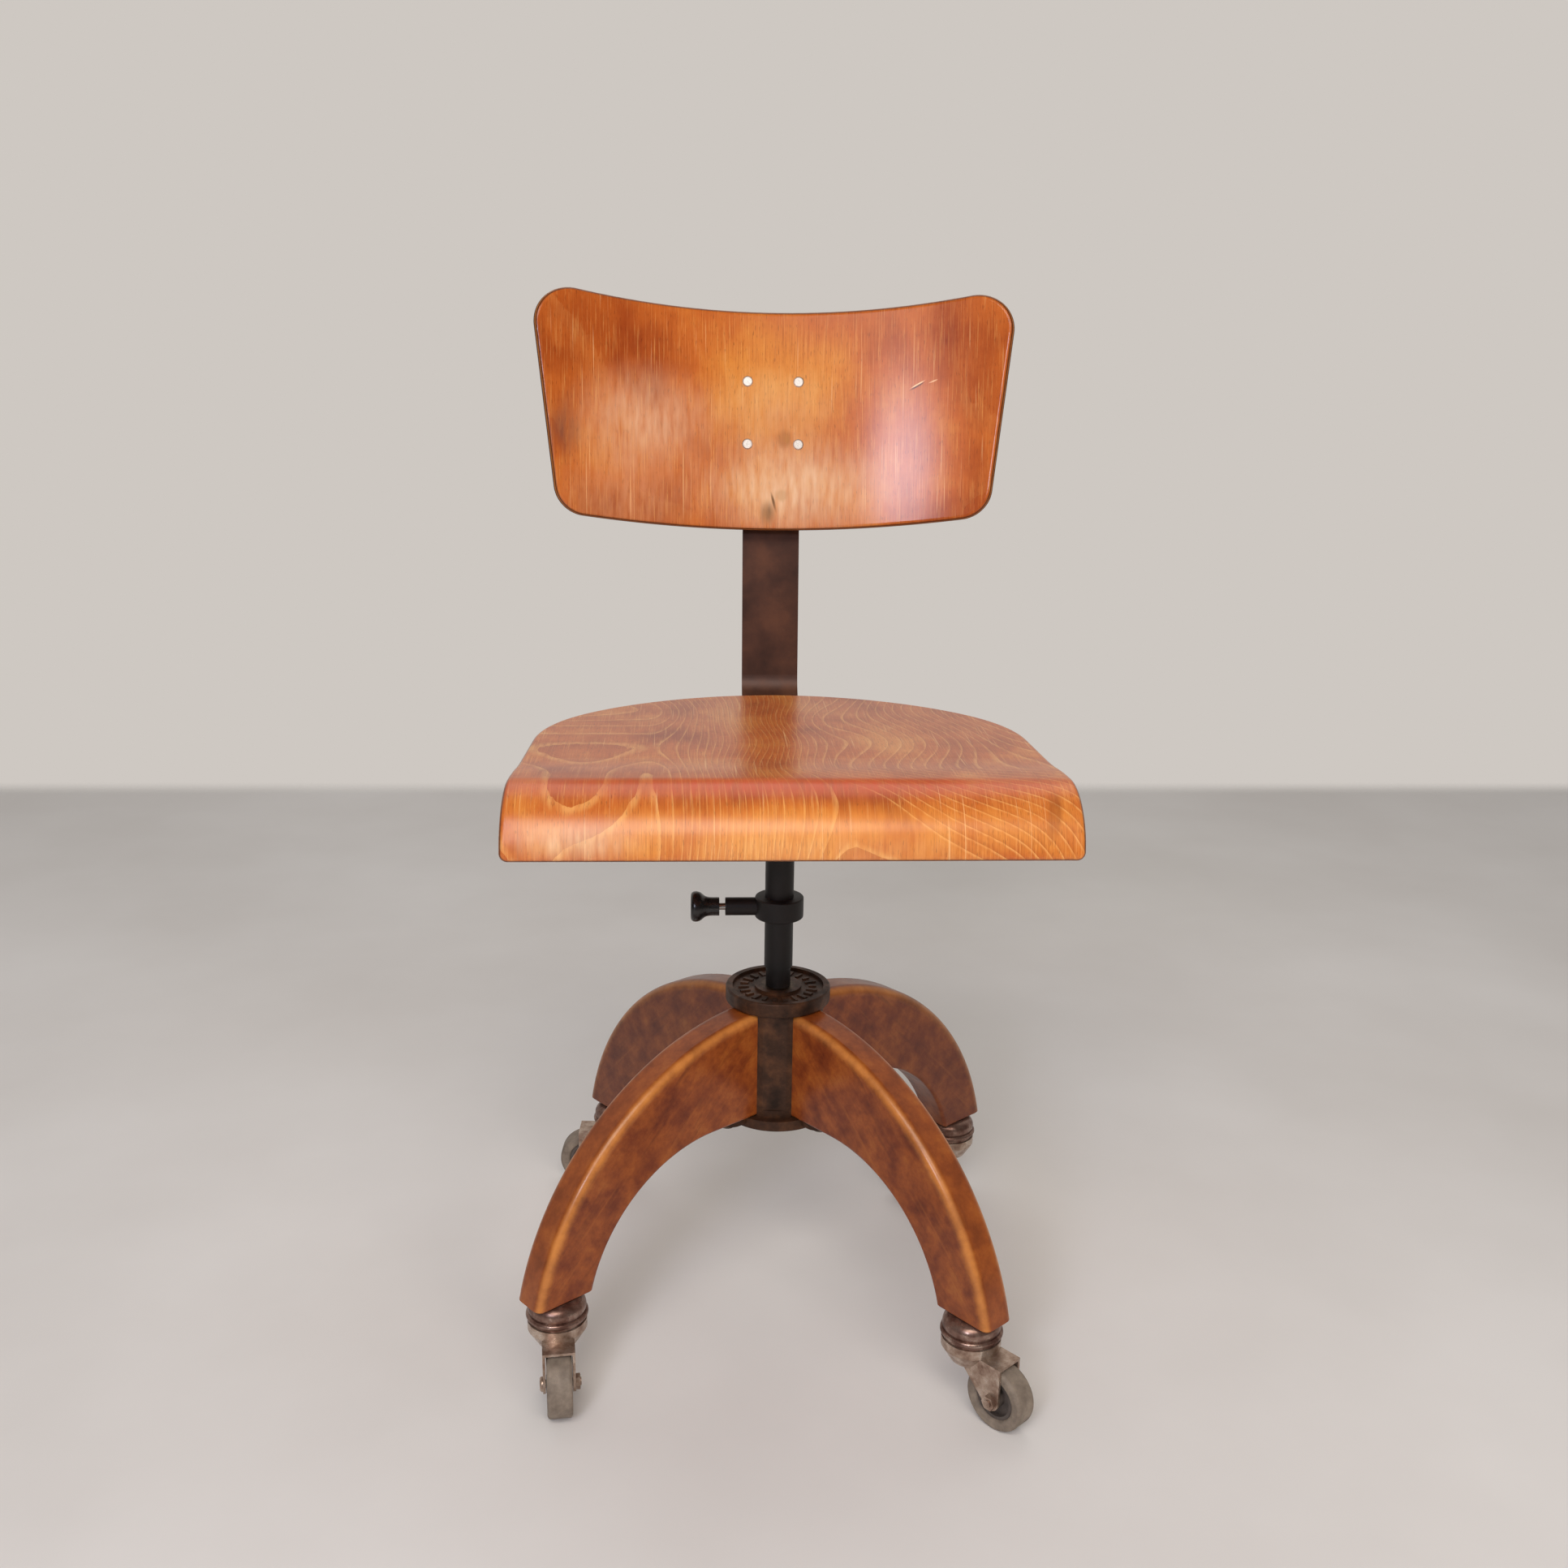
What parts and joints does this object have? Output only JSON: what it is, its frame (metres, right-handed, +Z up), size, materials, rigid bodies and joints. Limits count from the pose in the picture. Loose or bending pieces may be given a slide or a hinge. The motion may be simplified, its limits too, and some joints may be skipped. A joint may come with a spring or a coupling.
{
  "type": "swivel desk chair",
  "caption": "Wooden swivel desk chair with a moulded plywood seat and tilting backrest, a telescoping column with a spring plunger, and curved legs on swivel casters.",
  "frame": {"origin": "on the floor, on the axis of the column", "axes": "+Z up along the column, the sitter faces -Y, +X to the right as seen from the front"},
  "size_m": [0.4008, 0.4553, 0.8172],
  "materials": {
    "beech_ply": "moulded beech plywood, stained orange brown, gloss varnish",
    "leg_beech": "solid beech, dark red-brown stain, worn varnish",
    "cast_hub": "cast iron, dark grey-brown patina",
    "black_steel": "black enamelled steel, semi-gloss",
    "brown_steel": "flat steel with a dark brown patina",
    "black_plastic": "black moulded knob, polished by use",
    "dark_screws": "dull steel fasteners",
    "bearing_steel": "ground steel",
    "bronze_bush": "sintered bronze",
    "rivet_aluminium": "bright aluminium rivets",
    "worn_nickel": "nickel plate, worn and stained brown",
    "wheel_core_plastic": "dark moulded wheel disc",
    "grey_rubber": "warm grey rubber"
  },
  "bodies": {
    "base": {"hub_casting": "cast_hub", "hub_bottom_plate": "cast_hub", "leg_front_left": "leg_beech", "leg_front_right": "leg_beech", "leg_rear_left": "leg_beech", "leg_rear_right": "leg_beech", "leg_screws": "dark_screws", "plate_screws": "dark_screws", "upper_bush": "bronze_bush", "lower_bush": "bronze_bush", "thrust_ball": "bearing_steel", "caster_top_front_left": "worn_nickel", "caster_top_front_right": "worn_nickel", "caster_top_rear_left": "worn_nickel", "caster_top_rear_right": "worn_nickel"},
    "post": {"post": "black_steel", "retaining_ring": "bearing_steel"},
    "seat": {"seat_tube": "black_steel", "seat_plate": "brown_steel", "seat_shell": "beech_ply", "seat_screws": "dark_screws", "back_bar": "brown_steel", "bar_bolts": "dark_screws", "height_collar": "black_steel", "plunger_barrel": "black_steel", "plunger_spring": "bearing_steel", "pivot_pin": "bearing_steel"},
    "plunger": {"plunger_pin": "bearing_steel", "plunger_knob": "black_plastic"},
    "backrest": {"backrest_shell": "beech_ply", "backrest_bracket": "brown_steel", "backrest_rivets": "rivet_aluminium"},
    "fork_front_left": {"caster_fork_front_left": "worn_nickel", "caster_balls_front_left": "bearing_steel", "axle_bolt_front_left": "worn_nickel", "axle_nut_front_left": "worn_nickel"},
    "wheel_front_left": {"wheel_core_front_left": "wheel_core_plastic", "tyre_front_left": "grey_rubber"},
    "fork_front_right": {"caster_fork_front_right": "worn_nickel", "caster_balls_front_right": "bearing_steel", "axle_bolt_front_right": "worn_nickel", "axle_nut_front_right": "worn_nickel"},
    "wheel_front_right": {"wheel_core_front_right": "wheel_core_plastic", "tyre_front_right": "grey_rubber"},
    "fork_rear_left": {"caster_fork_rear_left": "worn_nickel", "caster_balls_rear_left": "bearing_steel", "axle_bolt_rear_left": "worn_nickel", "axle_nut_rear_left": "worn_nickel"},
    "wheel_rear_left": {"wheel_core_rear_left": "wheel_core_plastic", "tyre_rear_left": "grey_rubber"},
    "fork_rear_right": {"caster_fork_rear_right": "worn_nickel", "caster_balls_rear_right": "bearing_steel", "axle_bolt_rear_right": "worn_nickel", "axle_nut_rear_right": "worn_nickel"},
    "wheel_rear_right": {"wheel_core_rear_right": "wheel_core_plastic", "tyre_rear_right": "grey_rubber"}
  },
  "joints": [
    {"name": "seat_swivel", "type": "hinge", "parent": "base", "child": "post", "pos_m": [0, 0, 0.2], "axis": [0, 0, 1], "continuous": true},
    {"name": "seat_height", "type": "slide", "parent": "post", "child": "seat", "axis": [0, 0, 1], "range_m": [-0.012, 0.09]},
    {"name": "plunger_pull", "type": "slide", "parent": "seat", "child": "plunger", "axis": [-1, 0, 0], "range_m": [0, 0.008], "stiffness_N_per_m": 600, "springref_m": -0.006, "deforming": ["plunger_spring"]},
    {"name": "backrest_tilt", "type": "hinge", "parent": "seat", "child": "backrest", "pos_m": [0, 0.22798, 0.71346], "axis": [1, 0, 0], "range_deg": [-12, 6]},
    {"name": "caster_swivel_front_left", "type": "hinge", "parent": "base", "child": "fork_front_left", "pos_m": [-0.17176, -0.13908, 0.06], "axis": [0, 0, 1], "continuous": true},
    {"name": "wheel_spin_front_left", "type": "hinge", "parent": "fork_front_left", "child": "wheel_front_left", "pos_m": [-0.16862, -0.16892, 0.025], "axis": [-0.9945, -0.1045, 0], "continuous": true},
    {"name": "caster_swivel_front_right", "type": "hinge", "parent": "base", "child": "fork_front_right", "pos_m": [0.13908, -0.17176, 0.06], "axis": [0, 0, 1], "continuous": true},
    {"name": "wheel_spin_front_right", "type": "hinge", "parent": "fork_front_right", "child": "wheel_front_right", "pos_m": [0.15877, -0.1944, 0.025], "axis": [-0.7547, -0.6561, 0], "continuous": true},
    {"name": "caster_swivel_rear_left", "type": "hinge", "parent": "base", "child": "fork_rear_left", "pos_m": [-0.13908, 0.17176, 0.06], "axis": [0, 0, 1], "continuous": true},
    {"name": "wheel_spin_rear_left", "type": "hinge", "parent": "fork_rear_left", "child": "wheel_rear_left", "pos_m": [-0.16904, 0.17333, 0.025], "axis": [0.0523, 0.9986, 0], "continuous": true},
    {"name": "caster_swivel_rear_right", "type": "hinge", "parent": "base", "child": "fork_rear_right", "pos_m": [0.17176, 0.13908, 0.06], "axis": [0, 0, 1], "continuous": true},
    {"name": "wheel_spin_rear_right", "type": "hinge", "parent": "fork_rear_right", "child": "wheel_rear_right", "pos_m": [0.14221, 0.13387, 0.025], "axis": [-0.1736, 0.9848, 0], "continuous": true}
  ]
}
